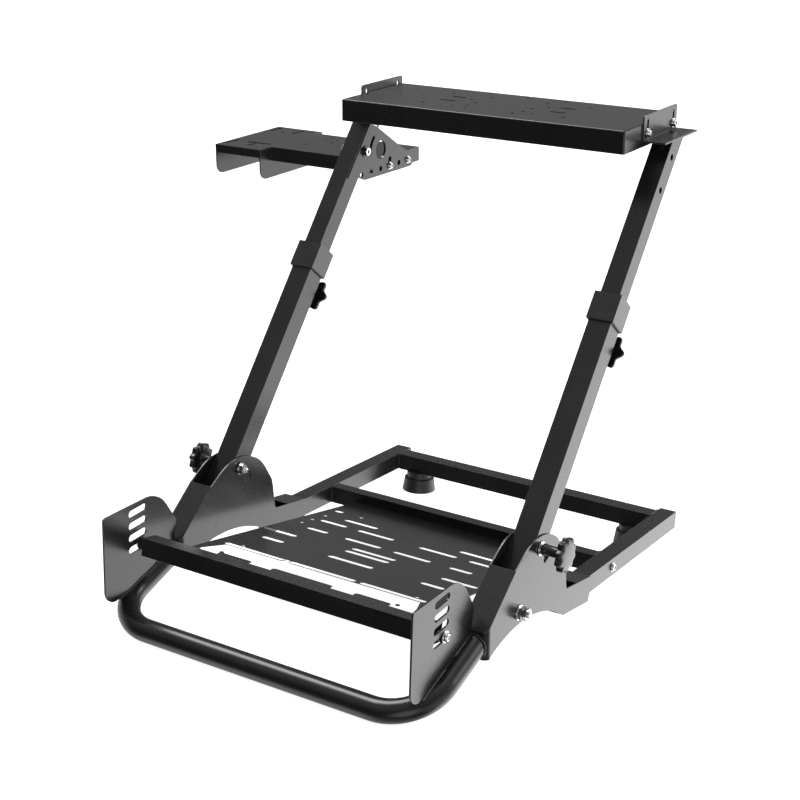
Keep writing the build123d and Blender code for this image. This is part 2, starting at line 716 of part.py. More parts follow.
# Shifter gusset: a flat plate bolted to the left upper tube's inner face, with a row of tray holes
gusset_x = -(upright_x - upper_tube_side / 2)
gusset_hole_row = 129.3
gusset_hole_first = 52.8
gusset_hole_pitch = 27.8
gusset_holes = 6
gusset_hole_radius = 4.7
gusset_sheet = 4.0
gusset_slot_top = -113.5
gusset_window = (109.2, -98.3)
gusset_window_radius = 15.2
gusset_chin = (62.0, -139.6)
tilt_slot_radius = 31.0
tilt_slot_width = 7.0


def beside_tube(down):
    """The upper tube's front edge on the head's side view, at a depth below the deck."""
    slant = math.radians(lean_angle + head_tilt)
    middle = head_bracket_middle + (shelf_underside - down) * -math.tan(slant)
    return (middle - upper_tube_side / 2 / math.cos(slant), down)


with BuildPart() as shifter_gusset:
    with BuildSketch(head_side(gusset_x)) as profile:
        with BuildLine():
            Polyline(
                beside_tube(-50.9),
                (97.3, -58.3),
                (164.2, -99.8),
                (192.9, -115.7),
                (gusset_rear, -129.0),
                (gusset_rear, -141.6),
                gusset_chin,
                (47.0, -133.0),
                beside_tube(-128.0),
                close=True,
            )
        make_face()
        fillet(nearest(profile.vertices(), (gusset_rear, -129.0), (gusset_rear, -141.6)), 5.0)
        fillet(nearest(profile.vertices(), gusset_chin), 12.0)
        with Locations(gusset_window):
            Circle(gusset_window_radius, mode=Mode.SUBTRACT)
        with BuildLine(mode=Mode.PRIVATE):
            tilt_arc = CenterArc(gusset_window, tilt_slot_radius, 132, 50)
        SlotArc(tilt_arc, tilt_slot_width, mode=Mode.SUBTRACT)
        slot_low = -gusset_hole_row - gusset_hole_radius
        with Locations((gusset_hole_first + 3 * gusset_hole_pitch, (gusset_slot_top + slot_low) / 2)):
            SlotOverall(gusset_slot_top - slot_low, 2 * gusset_hole_radius, rotation=90, mode=Mode.SUBTRACT)
        for step in range(gusset_holes):
            with Locations((gusset_hole_first + step * gusset_hole_pitch, -gusset_hole_row)):
                Circle(gusset_hole_radius, mode=Mode.SUBTRACT)
    extrude(amount=gusset_sheet)
    with BuildSketch(across(gusset_x)):
        with Locations((upper_hole_marks[0] * lean_sin, pivot_height + upper_hole_marks[0] * lean_cos)):
            Circle(upper_hole_radius)
    extrude(amount=gusset_sheet, mode=Mode.SUBTRACT)
shifter_gusset.part.label = "shifter_gusset"
export_step(shifter_gusset.part, "parts/shifter_gusset.step")

# Shifter arm: a skirted sheet from the gusset out to the tray
arm_span = tray_right + gusset_x
arm_middle = ((gusset_x - tray_right) / 2, (arm_front + arm_rear) / 2)
arm_holes = ((-412.4, 76.3), (-408.0, 129.2), (-410.6, 154.1), (-386.2, 115.9), (-387.3, 135.7))
small_hole_radius = 3.0
with BuildPart() as shifter_arm:
    with BuildSketch(head_top(-tray_drop - tray_skirt)):
        with Locations(arm_middle):
            Rectangle(arm_span, arm_rear - arm_front)
    extrude(amount=tray_skirt)
    with BuildSketch(head_top(-tray_drop - tray_skirt)):
        with Locations((arm_middle[0] - sheet, arm_middle[1])):
            Rectangle(arm_span, arm_rear - arm_front - 2 * sheet)
    extrude(amount=tray_skirt - sheet, mode=Mode.SUBTRACT)
    with BuildSketch(head_top(-tray_drop - sheet)):
        with Locations((0, tray_front)):
            with Locations(*arm_holes):
                Circle(small_hole_radius)
    extrude(amount=sheet, mode=Mode.SUBTRACT)
    with BuildSketch(head_side(gusset_x)):
        for step in (3, 5):
            with Locations((gusset_hole_first + step * gusset_hole_pitch, -gusset_hole_row)):
                Circle(gusset_hole_radius)
    extrude(amount=-sheet, mode=Mode.SUBTRACT)
shifter_arm.part.label = "shifter_arm"
export_step(shifter_arm.part, "parts/shifter_arm.step")

# Shifter tray: a wider plate with hanging side flanges and the shifter's bolt slots
tray_width = tray_left - tray_right
tray_middle = (-(tray_left + tray_right) / 2, (tray_front + tray_rear) / 2)
with BuildPart() as shifter_tray:
    with BuildSketch(head_top(-tray_drop - sheet)):
        with Locations(tray_middle):
            Rectangle(tray_width, tray_rear - tray_front)
        with Locations((0, tray_front)):
            with Locations((-508.4, 140.8), (-465.7, 170.8), (-502.2, 172.5)):
                Circle(small_hole_radius, mode=Mode.SUBTRACT)
            with Locations((-489.7, 47.0)):
                SlotOverall(50.0, 7.0, rotation=2, mode=Mode.SUBTRACT)
            with Locations((-493.8, 32.0)):
                SlotOverall(26.0, 7.0, rotation=85, mode=Mode.SUBTRACT)
            with Locations((-537.5, 34.8)):
                SlotOverall(34.0, 6.5, rotation=82, mode=Mode.SUBTRACT)
            with Locations((-536.0, 160.0)):
                SlotOverall(36.0, 6.5, rotation=88, mode=Mode.SUBTRACT)
            with Locations((-487.2, 158.2)):
                SlotOverall(34.0, 6.5, rotation=83, mode=Mode.SUBTRACT)
    extrude(amount=sheet)
    for edge in (-tray_left, -tray_right - sheet):
        with BuildSketch(head_side(edge)) as profile:
            with Locations((tray_middle[1], -tray_drop - tray_flange / 2)):
                Rectangle(tray_rear - tray_front, tray_flange)
            lower_front = (tray_front, -tray_drop - tray_flange)
            fillet(nearest(profile.vertices(), lower_front), tray_corner)
        extrude(amount=sheet)
    with BuildSketch(head_top(-tray_drop - tray_lip)):
        with Locations((tray_middle[0], tray_front + sheet / 2)):
            Rectangle(tray_width, sheet)
    extrude(amount=tray_lip)
    with BuildSketch(head_top(-tray_drop - tray_skirt)):
        with Locations((tray_middle[0], tray_rear - sheet / 2)):
            Rectangle(tray_width, sheet)
    extrude(amount=tray_skirt)
shifter_tray.part.label = "shifter_tray"
export_step(shifter_tray.part, "parts/shifter_tray.step")
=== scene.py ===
"""Looks of the racing wheel stand: black powder coat, plated fasteners, moulded knobs and a plain studio."""

import json
import math
import random

import bmesh
import bpy
from mathutils import Matrix, Vector


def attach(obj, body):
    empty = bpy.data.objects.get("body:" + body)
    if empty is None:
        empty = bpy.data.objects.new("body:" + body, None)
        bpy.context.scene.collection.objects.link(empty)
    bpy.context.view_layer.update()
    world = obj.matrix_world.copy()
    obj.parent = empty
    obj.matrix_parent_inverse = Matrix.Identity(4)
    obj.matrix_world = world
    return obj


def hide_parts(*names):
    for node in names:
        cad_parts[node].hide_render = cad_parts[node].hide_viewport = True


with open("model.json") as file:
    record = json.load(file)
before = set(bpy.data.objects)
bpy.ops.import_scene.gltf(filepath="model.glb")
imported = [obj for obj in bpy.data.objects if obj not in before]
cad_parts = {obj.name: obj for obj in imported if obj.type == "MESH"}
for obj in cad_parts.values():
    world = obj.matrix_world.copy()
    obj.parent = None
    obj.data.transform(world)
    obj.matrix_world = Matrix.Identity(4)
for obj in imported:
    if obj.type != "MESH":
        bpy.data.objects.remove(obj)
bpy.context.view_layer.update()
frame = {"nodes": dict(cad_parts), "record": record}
joints = {joint["name"]: joint for joint in frame["record"]["behaviour"]["joints"]}
mounts = {mount["name"]: mount for mount in frame["record"]["mounts"]}

# Sizes in metres, as in the part's source
UPRIGHT_X = 0.2568
SHEET = 0.0025
BRACKET_HALF = 0.020
UPPER_TUBE_HALF = 0.015
PLATE_HALF = 0.240
FLANGE_BOLTS_BACK = (0.073, 0.165)
FLANGE_BOLT_DROP = 0.0145
WING_INSIDE = 0.2492
WING_OUTSIDE = 0.2522
PEDAL_BAR_HALF = 0.2395
PEDAL_BAR_DROP = 0.0035
LEAN_BOLT_ALONG = 0.092
LEAN_BOLT_TAIL = 0.013
LEAN_KNOB_START = 0.308
HEIGHT_KNOB_ALONG = 0.400
TUBE_HOLES = (0.6435, 0.698)
GUSSET_SHEET = 0.004
GUSSET_HOLE_DROP = 0.1293
GUSSET_HOLE_FIRST = 0.0528
GUSSET_HOLE_PITCH = 0.0278
GUSSET_BOLTED_HOLES = (3, 5)
RAIL_HALF = 0.014
RAIL_MIDDLE = 0.048
TUBE_RING_Y = -0.0845
TUBE_RING_Z = 0.07105
FRONT_TUBE_RADIUS = 0.0165

X = Vector((1, 0, 0))
Z = Vector((0, 0, 1))
SIDES = (("right", 1), ("left", -1))


# Frames: X runs right, Y rearwards or to the tube's rear face, Z up

WHEEL_DECK_BACK = 0.020
PEDAL_DECK_BACK = 0.120
NEARLY_ALONG = 0.9


def basis(origin, right, up):
    """Matrix with its X along right and its Z along up."""
    z = Vector(up).normalized()
    x = (Vector(right) - z * z.dot(Vector(right))).normalized()
    turn = Matrix((x, z.cross(x), z)).transposed().to_4x4()
    return Matrix.Translation(origin) @ turn


def deck(name, back):
    """A deck's frame, with its origin that far in front of the mount on it."""
    mount = mounts[name]
    return basis(mount["pos_m"], X, mount["axis"]) @ Matrix.Translation((0, -back, 0))


pivot = Vector(joints["lean"]["pos_m"])
tube_axis = Vector(joints["height"]["axis"]).normalized()
uprights = basis(pivot, X, tube_axis)
head = deck("wheel_deck", WHEEL_DECK_BACK)
pedals = deck("pedal_deck", PEDAL_DECK_BACK)
floor_plan = Matrix.Translation((pivot.x, pivot.y, 0))


def facing(matrix, place, normal):
    """Frame at a place in another frame, its Z along that frame's normal."""
    spot = matrix @ Vector(place)
    out = matrix.to_3x3() @ Vector(normal)
    side = X if abs(out.normalized().dot(X)) < NEARLY_ALONG else Z
    return basis(spot, side, out)


# Mesh building: shares are of the form's own radius or depth

RIM_SHARE = 0.25
HEX_STEPS = 48
HEX_CHAMFER = 0.16
HEX_CORNER = 0.93
HEX_HOLE_DEPTH = 0.5
THREAD_PITCH = 0.0012
THREAD_ROOT = 0.9
HEAD_SOCKET = 0.46
HEAD_EDGE = 0.25
BEAD_STEP = 0.0012
BEAD_SECTORS = 10
BEAD_RIPPLE = 0.16
BEAD_RIPPLE_TURN = 2.2
BEAD_CHANCE = 0.07
BEAD_END = 0.3
FLAT_ANGLE = math.radians(0.6)
ROUNDED_ANGLE = math.radians(28)
FACE_WEIGHT = 100


def lathe(mesh, place, profile, steps=32):
    """Adds a turned form: profile is (radius, height) from one end to the other, on the place's Z."""
    rings = []
    for radius, height in profile:
        if radius == 0:
            rings.append([mesh.verts.new(place @ Vector((0, 0, height)))])
            continue
        ring = []
        for step in range(steps):
            turn = 2 * math.pi * step / steps
            ring.append(mesh.verts.new(place @ Vector((radius * math.cos(turn), radius * math.sin(turn), height))))
        rings.append(ring)
    for low, high in zip(rings, rings[1:]):
        for step in range(steps):
            after = (step + 1) % steps
            corners = [low[step % len(low)], low[after % len(low)], high[after % len(high)], high[step % len(high)]]
            unique = list(dict.fromkeys(corners))
            if len(unique) > 2:
                mesh.faces.new(unique)


def prism(mesh, place, outline, low, high):
    """Adds a straight form: outline is (x, y) points, from one height to another on the place's Z."""
    bottom = [mesh.verts.new(place @ Vector((x, y, low))) for x, y in outline]
    top = [mesh.verts.new(place @ Vector((x, y, high))) for x, y in outline]
    mesh.faces.new(bottom[::-1])
    mesh.faces.new(top)
    for step in range(len(outline)):
        after = (step + 1) % len(outline)
        mesh.faces.new((bottom[step], bottom[after], top[after], top[step]))


def regular(sides, radius):
    """Corners of a regular polygon."""
    angles = [2 * math.pi * step / sides for step in range(sides)]
    return [(radius * math.cos(angle), radius * math.sin(angle)) for angle in angles]


def washer(mesh, place, shape, low=0.0):
    """Adds a washer with rounded rims: shape is (hole radius, radius, thickness)."""
    inner, outer, thickness = shape
    rim = min(thickness, outer - inner) * RIM_SHARE
    high = low + thickness
    profile = (
        (inner, low), (outer - rim, low), (outer, low + rim), (outer, high - rim),
        (outer - rim, high), (inner, high), (inner, low),
    )
    lathe(mesh, place, profile)


def hex_form(mesh, place, shape, low, hole=0.0):
    """Adds a chamfered hexagon, as a bolt's head or a nut: shape is (width across flats, depth)."""
    across_flats, depth = shape
    corner = across_flats / math.sqrt(3)
    steps = HEX_STEPS
    chamfer = depth * HEX_CHAMFER
    rings = ((True, low), (False, low + chamfer), (False, low + depth - chamfer), (True, low + depth))
    made = []
    for cut, height in rings:
        ring = []
        for step in range(steps):
            turn = 2 * math.pi * step / steps
            flat = (turn + math.pi / 6) % (math.pi / 3) - math.pi / 6
            reach = across_flats / 2 / math.cos(flat)
            if cut:
                reach = min(reach, corner * HEX_CORNER)
            ring.append(mesh.verts.new(place @ Vector((reach * math.cos(turn), reach * math.sin(turn), height))))
        made.append(ring)
    for under, over in zip(made, made[1:]):
        for step in range(steps):
            after = (step + 1) % steps
            mesh.faces.new((under[step], under[after], over[after], over[step]))
    mesh.faces.new(made[0][::-1])
    if hole == 0.0:
        mesh.faces.new(made[-1])
        return
    inner = []
    for step in range(steps):
        turn = 2 * math.pi * step / steps
        spot = Vector((hole * math.cos(turn), hole * math.sin(turn), low + depth))
        inner.append(mesh.verts.new(place @ spot))
    for step in range(steps):
        after = (step + 1) % steps
        mesh.faces.new((made[-1][step], made[-1][after], inner[after], inner[step]))
    down = place.to_3x3() @ Vector((0, 0, depth * HEX_HOLE_DEPTH))
    deep = [mesh.verts.new(vert.co - down) for vert in inner]
    for step in range(steps):
        after = (step + 1) % steps
        mesh.faces.new((inner[step], inner[after], deep[after], deep[step]))


def thread(mesh, place, radius, low, high):
    """Adds a threaded shank with a chamfered end."""
    pitch = THREAD_PITCH
    profile = [(radius * THREAD_ROOT, low)]
    height = low
    while height < high - pitch:
        profile.append((radius, height + 0.35 * pitch))
        profile.append((radius * THREAD_ROOT, height + 0.85 * pitch))
        height += pitch
    profile += [(radius * 0.85, high - 0.2 * pitch), (radius * 0.7, high), (0, high)]
    lathe(mesh, place, profile, 24)


def pan_head(mesh, place, shape, low):
    """Adds a domed screw head with a round socket: shape is (radius, depth)."""
    radius, depth = shape
    socket = radius * HEAD_SOCKET
    top = low + depth
    edge = HEAD_EDGE
    profile = [(radius * 0.98, low), (radius, low + depth * edge)]
    for step in range(1, 6):
        turn = math.pi / 2 * step / 6
        rise = edge + (1 - edge) * math.sin(turn)
        profile.append((radius * (0.55 + 0.45 * math.cos(turn)), low + depth * rise))
    profile += [(socket * 1.1, top), (socket, top - depth * 0.08), (socket * 0.96, top - depth * 0.76)]
    profile += [(0, top - depth * 0.84)]
    lathe(mesh, place, profile, 36)


def lobed(mesh, place, profile, lobes, steps, sharpness=1.0):
    """Adds a knob form: profile is (radius, height, depth of the hollows between the lobes)."""
    rings = []
    for radius, height, hollow in profile:
        ring = []
        for step in range(steps):
            turn = 2 * math.pi * step / steps
            crest = ((1 + math.cos(lobes * turn)) / 2) ** sharpness
            reach = radius - hollow * (1 - crest)
            ring.append(mesh.verts.new(place @ Vector((reach * math.cos(turn), reach * math.sin(turn), height))))
        rings.append(ring)
    for low, high in zip(rings, rings[1:]):
        for step in range(steps):
            after = (step + 1) % steps
            mesh.faces.new((low[step], low[after], high[after], high[step]))
    mesh.faces.new(rings[0][::-1])
    mesh.faces.new(rings[-1])


def bead(mesh, points, radius, seed):
    """Adds a weld bead along points, with its rippled surface."""
    chance = random.Random(seed)
    line = [Vector(point) for point in points]
    run = []
    for start, end in zip(line, line[1:]):
        steps = max(1, round((end - start).length / BEAD_STEP))
        run += [start.lerp(end, step / steps) for step in range(steps)]
    run.append(line[-1])
    rings = []
    for step, spot in enumerate(run):
        ahead = run[min(step + 1, len(run) - 1)] - run[max(step - 1, 0)]
        ahead.normalize()
        side = ahead.orthogonal().normalized()
        over = ahead.cross(side)
        ripple = 1 + BEAD_RIPPLE * math.sin(step * BEAD_RIPPLE_TURN) + chance.uniform(-BEAD_CHANCE, BEAD_CHANCE)
        if step in (0, len(run) - 1):
            ripple = BEAD_END
        ring = []
        for sector in range(BEAD_SECTORS):
            turn = 2 * math.pi * sector / BEAD_SECTORS
            offset = (side * math.cos(turn) + over * math.sin(turn)) * radius * ripple
            ring.append(mesh.verts.new(spot + offset))
        rings.append(ring)
    for low, high in zip(rings, rings[1:]):
        for sector in range(BEAD_SECTORS):
            after = (sector + 1) % BEAD_SECTORS
            mesh.faces.new((low[sector], low[after], high[after], high[sector]))
    mesh.faces.new(rings[0][::-1])
    mesh.faces.new(rings[-1])


def piece(name, mesh, body, material, stands_for=(), rounding=0.0, smooth_angle=35):
    """Turns a bmesh into an object on a body, with a material, and hides the parts it stands for."""
    bmesh.ops.recalc_face_normals(mesh, faces=mesh.faces[:])
    data = bpy.data.meshes.new(name)
    mesh.to_mesh(data)
    mesh.free()
    made = bpy.data.objects.new(name, data)
    bpy.context.scene.collection.objects.link(made)
    data.materials.append(material)
    finish_edges(made, rounding, smooth_angle)
    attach(made, body)
    for node in stands_for:
        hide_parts(node)


def finish_edges(made, rounding, smooth_angle):
    """Rounds an object's sharp edges, where a width is given, and shades its curved faces smooth."""
    for face in made.data.polygons:
        face.use_smooth = True
    if rounding:
        flat = made.modifiers.new("flat faces", "DECIMATE")
        flat.decimate_type = "DISSOLVE"
        flat.angle_limit = FLAT_ANGLE
        bevel = made.modifiers.new("rounded edges", "BEVEL")
        bevel.width = rounding
        bevel.segments = 2
        bevel.limit_method = "ANGLE"
        bevel.angle_limit = ROUNDED_ANGLE
        even = made.modifiers.new("even faces", "WEIGHTED_NORMAL")
        even.weight = FACE_WEIGHT
    split = made.modifiers.new("sharp edges", "EDGE_SPLIT")
    split.split_angle = math.radians(smooth_angle)


# Materials: noise scales are per metre, bump distances in metres

NOISE_ROUGHNESS = 0.55
# Coat edges: a lighter colour along the edges, partly wear and partly a painted edge highlight
WEAR_AND_HIGHLIGHT_RADIUS = 0.0012
WEAR_AND_HIGHLIGHT_TURN = (0.88, 0.995)
WEAR_AND_HIGHLIGHT_PATCHES = (0.35, 1.0)
WEAR_AND_HIGHLIGHT_COLOUR = (0.13, 0.13, 0.133, 1)
COAT_COLOURS = ((0.0085, 0.0085, 0.009), (0.0125, 0.0125, 0.013))
COAT_ROUGHNESS = (0.20, 0.30)
COAT_BUMP = (0.22, 0.0002)
COAT_SPECULAR = 0.32
PLASTIC_COLOURS = ((0.008, 0.008, 0.009), (0.013, 0.013, 0.014))
PLASTIC_ROUGHNESS = (0.22, 0.32)
PLASTIC_GRAIN = 1500
RUBBER_COLOURS = ((0.012, 0.012, 0.012), (0.020, 0.020, 0.020))
RUBBER_ROUGHNESS = (0.38, 0.52)
RUBBER_GRAIN = 900
MOULDED_BUMP = (0.18, 0.00015)
MOULDED_SPECULAR = 0.38
ZINC_COLOURS = ((0.48, 0.485, 0.50), (0.62, 0.63, 0.65))
ZINC_ROUGHNESS = (0.10, 0.20)
ZINC_BUMP = (0.10, 0.00008)
CAD_ROUNDING = 0.0007
CAD_SMOOTH_ANGLE = 35


def shader_nodes(name):
    """A new material with its nodes, its shader and object coordinates."""
    made = bpy.data.materials.new(name)
    made.use_nodes = True
    nodes = made.node_tree.nodes
    shader = nodes["Principled BSDF"]
    coordinates = nodes.new("ShaderNodeTexCoord")
    return made, nodes, made.node_tree.links, shader, coordinates.outputs["Object"]


def noise(nodes, links, coordinates, scale, detail):
    """Noise output at a scale per metre."""
    texture = nodes.new("ShaderNodeTexNoise")
    texture.inputs["Scale"].default_value = scale
    texture.inputs["Detail"].default_value = detail
    texture.inputs["Roughness"].default_value = NOISE_ROUGHNESS
    links.new(coordinates, texture.inputs["Vector"])
    return texture.outputs["Fac"]


def spread(nodes, links, value, low, high, start=0.3, end=0.7):
    """Maps a noise value onto a range."""
    mapped = nodes.new("ShaderNodeMapRange")
    mapped.inputs["From Min"].default_value = start
    mapped.inputs["From Max"].default_value = end
    mapped.inputs["To Min"].default_value = low
    mapped.inputs["To Max"].default_value = high
    links.new(value, mapped.inputs["Value"])
    return mapped.outputs["Result"]


def tint(nodes, links, value, dark, light):
    """Mixes two colours by a value."""
    mix = nodes.new("ShaderNodeMix")
    mix.data_type = "RGBA"
    mix.inputs["A"].default_value = (*dark, 1)
    mix.inputs["B"].default_value = (*light, 1)
    links.new(value, mix.inputs["Factor"])
    return mix.outputs["Result"]


def bump(nodes, links, value, strength, distance):
    """Normal from a height value."""
    node = nodes.new("ShaderNodeBump")
    node.inputs["Strength"].default_value = strength
    node.inputs["Distance"].default_value = distance
    links.new(value, node.inputs["Height"])
    return node.outputs["Normal"]


def worn_and_highlit_edges(nodes, links, patches):
    """Share of wear and painted edge highlight: 1 on the edges of a surface, in patches, and 0 on its faces."""
    soft = nodes.new("ShaderNodeBevel")
    soft.samples = 4
    soft.inputs["Radius"].default_value = WEAR_AND_HIGHLIGHT_RADIUS
    surface = nodes.new("ShaderNodeNewGeometry")
    turn = nodes.new("ShaderNodeVectorMath")
    turn.operation = "DOT_PRODUCT"
    links.new(soft.outputs["Normal"], turn.inputs[0])
    links.new(surface.outputs["Normal"], turn.inputs[1])
    edge = spread(nodes, links, turn.outputs["Value"], 1.0, 0.0, *WEAR_AND_HIGHLIGHT_TURN)
    share = nodes.new("ShaderNodeMath")
    share.operation = "MULTIPLY"
    links.new(edge, share.inputs[0])
    links.new(patches, share.inputs[1])
    return share.outputs["Value"]


def powder_coat():
    """Satin black powder coat: fine pebbled grain, slight clouding, glossier patches, worn edges with a painted
    highlight.
    """
    made, nodes, links, shader, place = shader_nodes("black_coat")
    cloud = spread(nodes, links, noise(nodes, links, place, 14, 4), 0.0, 1.0)
    colour = tint(nodes, links, cloud, *COAT_COLOURS)
    # Painted edge highlight and wear: the coat is lightened along its edges, in patches
    wear_and_highlight = worn_and_highlit_edges(nodes, links, spread(nodes, links, noise(nodes, links, place, 55, 3), *WEAR_AND_HIGHLIGHT_PATCHES))
    worn_and_highlit = nodes.new("ShaderNodeMix")
    worn_and_highlit.data_type = "RGBA"
    worn_and_highlit.inputs["B"].default_value = WEAR_AND_HIGHLIGHT_COLOUR
    links.new(wear_and_highlight, worn_and_highlit.inputs["Factor"])
    links.new(colour, worn_and_highlit.inputs["A"])
    links.new(worn_and_highlit.outputs["Result"], shader.inputs["Base Color"])
    fine = noise(nodes, links, place, 1100, 2)
    links.new(spread(nodes, links, fine, *COAT_ROUGHNESS), shader.inputs["Roughness"])
    links.new(bump(nodes, links, fine, *COAT_BUMP), shader.inputs["Normal"])
    shader.inputs["Specular IOR Level"].default_value = COAT_SPECULAR
    return made


def moulded(name, colours, roughness, grain):
    """Black moulded plastic or rubber with a fine grain."""
    made, nodes, links, shader, place = shader_nodes(name)
    cloud = spread(nodes, links, noise(nodes, links, place, 40, 3), 0.0, 1.0)
    links.new(tint(nodes, links, cloud, *colours), shader.inputs["Base Color"])
    fine = noise(nodes, links, place, grain, 2)
    links.new(spread(nodes, links, fine, *roughness), shader.inputs["Roughness"])
    links.new(bump(nodes, links, fine, *MOULDED_BUMP), shader.inputs["Normal"])
    shader.inputs["Specular IOR Level"].default_value = MOULDED_SPECULAR
    return made


def plated():
    """Bright zinc plate with faint turning marks and duller patches."""
    made, nodes, links, shader, place = shader_nodes("zinc_plate")
    cloud = spread(nodes, links, noise(nodes, links, place, 260, 4), 0.0, 1.0)
    links.new(tint(nodes, links, cloud, *ZINC_COLOURS), shader.inputs["Base Color"])
    fine = noise(nodes, links, place, 2400, 3)
    links.new(spread(nodes, links, cloud, *ZINC_ROUGHNESS), shader.inputs["Roughness"])
    links.new(bump(nodes, links, fine, *ZINC_BUMP), shader.inputs["Normal"])
    shader.inputs["Metallic"].default_value = 1.0
    return made


coat = powder_coat()
plastic = moulded("black_plastic", PLASTIC_COLOURS, PLASTIC_ROUGHNESS, PLASTIC_GRAIN)
rubber = moulded("black_rubber", RUBBER_COLOURS, RUBBER_ROUGHNESS, RUBBER_GRAIN)
zinc = plated()
slots = {"black_coat": coat, "black_plastic": plastic, "black_rubber": rubber, "zinc_plate": zinc}

for part in frame["record"]["subparts"]:
    node = frame["nodes"][part["node"]]
    material = slots[part["material_slot"]]
    node.data.materials.clear()
    node.data.materials.append(material)
    finish_edges(node, CAD_ROUNDING, CAD_SMOOTH_ANGLE)


# Pedal plate: thinner and with wider slots than its solid. A slot row is its front edge, in metres, and the
# slots' ends from the middle, in millimetres

SLOT_END_STEPS = 10
MERGE_DISTANCE = 0.00001
PLATE_HALF_WIDTH = 0.1926
PLATE_FRONT = 0.013
PLATE_REAR = 0.4715
PLATE_THIN = 0.0010
SLOT_WIDTH = 0.0112
SLOT_ROWS = (
    (0.0392, ((-54.2, 46.9), (83.5, 141.2), (-148.5, -90.8))),
    (0.0899, ((-60.3, 53.0), (60.5, 167.2), (-174.5, -67.8))),
    (0.1629, ((-42.0, 34.7), (115.5, 154.2), (-161.5, -122.8))),
    (0.2069, ((-41.5, 34.2), (123.5, 182.2), (-189.5, -130.8))),
    (0.2253, ((-41.5, 34.2),)),
    (0.2634, ((8.0, 71.8), (104.5, 142.2), (-79.1, -15.3), (-149.5, -111.8))),
    (0.3189, ((19.5, 84.7), (106.5, 155.2), (-92.0, -26.8), (-162.5, -113.8))),
    (0.3534, ((71.0, 132.2), (-139.5, -78.3))),
)
PLATE_HOLES = (
    (0.148, 0.0529), (-0.148, 0.0529), (0.148, 0.1034), (-0.148, 0.1034),
    (-0.173, 0.2857), (-0.173, 0.3157), (-0.173, 0.3527), (-0.131, 0.3927),
)
PLATE_HOLE_RADIUS = 0.0034
LARGE_HOLE = (-0.174, 0.3935)
LARGE_HOLE_HALVES = (0.0075, 0.0055)


def oval(x, y, half_length, half_width):
    """Outline of a slot along X, or a round hole where both halves are the same."""
    steps = SLOT_END_STEPS
    points = []
    for end in (1, -1):
        for step in range(steps + 1):
            turn = math.pi * (step / steps - 0.5)
            shift = half_length - half_width
            points.append((x + end * (shift + half_width * math.cos(turn)), y + end * half_width * math.sin(turn)))
    return points


def sheet(place, loops, thickness):
    """Mesh of a flat sheet with an outline and holes, its middle on the place's XY plane."""
    shape = bpy.data.curves.new("sheet", "CURVE")
    shape.dimensions = "2D"
    shape.fill_mode = "BOTH"
    shape.extrude = thickness / 2
    for points in loops:
        spline = shape.splines.new("POLY")
        spline.points.add(len(points) - 1)
        for point, spot in zip(spline.points, points):
            point.co = (*spot, 0, 1)
        spline.use_cyclic_u = True
    drawn = bpy.data.objects.new("sheet", shape)
    mesh = bmesh.new()
    mesh.from_mesh(drawn.to_mesh())
    drawn.to_mesh_clear()
    bpy.data.objects.remove(drawn)
    bmesh.ops.remove_doubles(mesh, verts=mesh.verts[:], dist=MERGE_DISTANCE)
    mesh.transform(place)
    return mesh


def pedal_plate():
    """The pedal plate as a thin sheet, cut by its slots and holes."""
    loops = [[
        (-PLATE_HALF_WIDTH, PLATE_FRONT), (PLATE_HALF_WIDTH, PLATE_FRONT),
        (PLATE_HALF_WIDTH, PLATE_REAR), (-PLATE_HALF_WIDTH, PLATE_REAR),
    ]]
    for front, spans in SLOT_ROWS:
        for low, high in spans:
            middle = (low + high) / 2000
            loops.append(oval(middle, front + SLOT_WIDTH / 2, (high - low) / 2000, SLOT_WIDTH / 2))
    for x, back in PLATE_HOLES:
        loops.append(oval(x, back, PLATE_HOLE_RADIUS, PLATE_HOLE_RADIUS))
    loops.append(oval(*LARGE_HOLE, *LARGE_HOLE_HALVES))
    mesh = sheet(pedals @ Matrix.Translation((0, 0, -PLATE_THIN / 2)), loops, PLATE_THIN)
    piece("pedal_plate_sheet", mesh, "base", coat, ["pedal_plate"])


pedal_plate()


# Wings: the solids' outline, with longer slots. A corner is its place, (back, up), and its radius

ARC_STEPS = 12
WING_CORNERS = (
    ((-0.2364, 0.1726), 0.005), ((-0.2335, 0.0335), 0.020), ((-0.0853, 0.0876), 0), ((-0.0863, 0.0950), 0),
    ((-0.0816, 0.1249), 0), ((-0.1203, 0.1791), 0.050),
)
WING_SLOT_FRONT = -0.1845
WING_SLOT_BACK = -0.1472
WING_SLOT_HEIGHT = 0.1093
WING_SLOT_PITCH = 0.0182
WING_SLOT_WIDTH = 0.0110
WING_SLOT_TILT = math.radians(6)
WING_SLOTS = 4
WING_ROUNDING = 0.0005


def rounded(corners):
    """Outline with arcs at its corners: corners are (point, radius)."""
    steps = ARC_STEPS
    points = []
    for order, (spot, radius) in enumerate(corners):
        corner = Vector(spot)
        if radius == 0:
            points.append(tuple(corner))
            continue
        before = (Vector(corners[order - 1][0]) - corner).normalized()
        after = (Vector(corners[(order + 1) % len(corners)][0]) - corner).normalized()
        half = before.angle(after) / 2
        centre = corner + (before + after).normalized() * (radius / math.sin(half))
        start = corner + before * (radius / math.tan(half)) - centre
        end = corner + after * (radius / math.tan(half)) - centre
        sweep = start.angle(end)
        for step in range(steps + 1):
            share = step / steps
            mixed = start * math.sin((1 - share) * sweep) + end * math.sin(share * sweep)
            points.append(tuple(centre + mixed / math.sin(sweep)))
    return points


